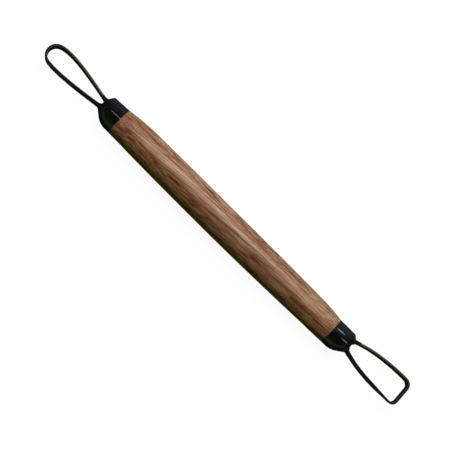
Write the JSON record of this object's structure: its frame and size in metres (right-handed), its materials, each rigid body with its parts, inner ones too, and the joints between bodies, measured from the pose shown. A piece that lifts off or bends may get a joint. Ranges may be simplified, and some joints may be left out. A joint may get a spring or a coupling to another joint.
{
  "type": "ribbon tool",
  "caption": "Double-ended ribbon tool for trimming clay: turned wooden handle, a teardrop loop of flat steel ribbon at one end and a square loop at the other, black sleeves at the joins.",
  "frame": {"origin": "middle of the handle, on its turning axis; the centre of mass of the whole tool lies 0.6 mm from it, towards the round loop", "axes": "+X along the handle towards the square loop; +Y across both loops; +Z at right angles to both loops, up when the tool lies flat"},
  "size_m": [0.1993, 0.0149, 0.0142],
  "materials": {
    "wood": "turned open-pored hardwood, oiled, satin",
    "black_steel": "blackened spring steel strip, edges ground back",
    "black_sleeve": "black shrink sleeve, glossy, faintly wrinkled",
    "black_melt": "black melt lining, set in the nose",
    "epoxy": "cured amber epoxy, hidden in the socket"
  },
  "bodies": {
    "root": {"handle": "wood", "round_ribbon": "black_steel", "square_ribbon": "black_steel", "round_end_sleeve": "black_sleeve", "square_end_sleeve": "black_sleeve", "round_end_melt": "black_melt", "square_end_melt": "black_melt", "round_end_plug": "epoxy", "square_end_plug": "epoxy"}
  },
  "joints": []
}
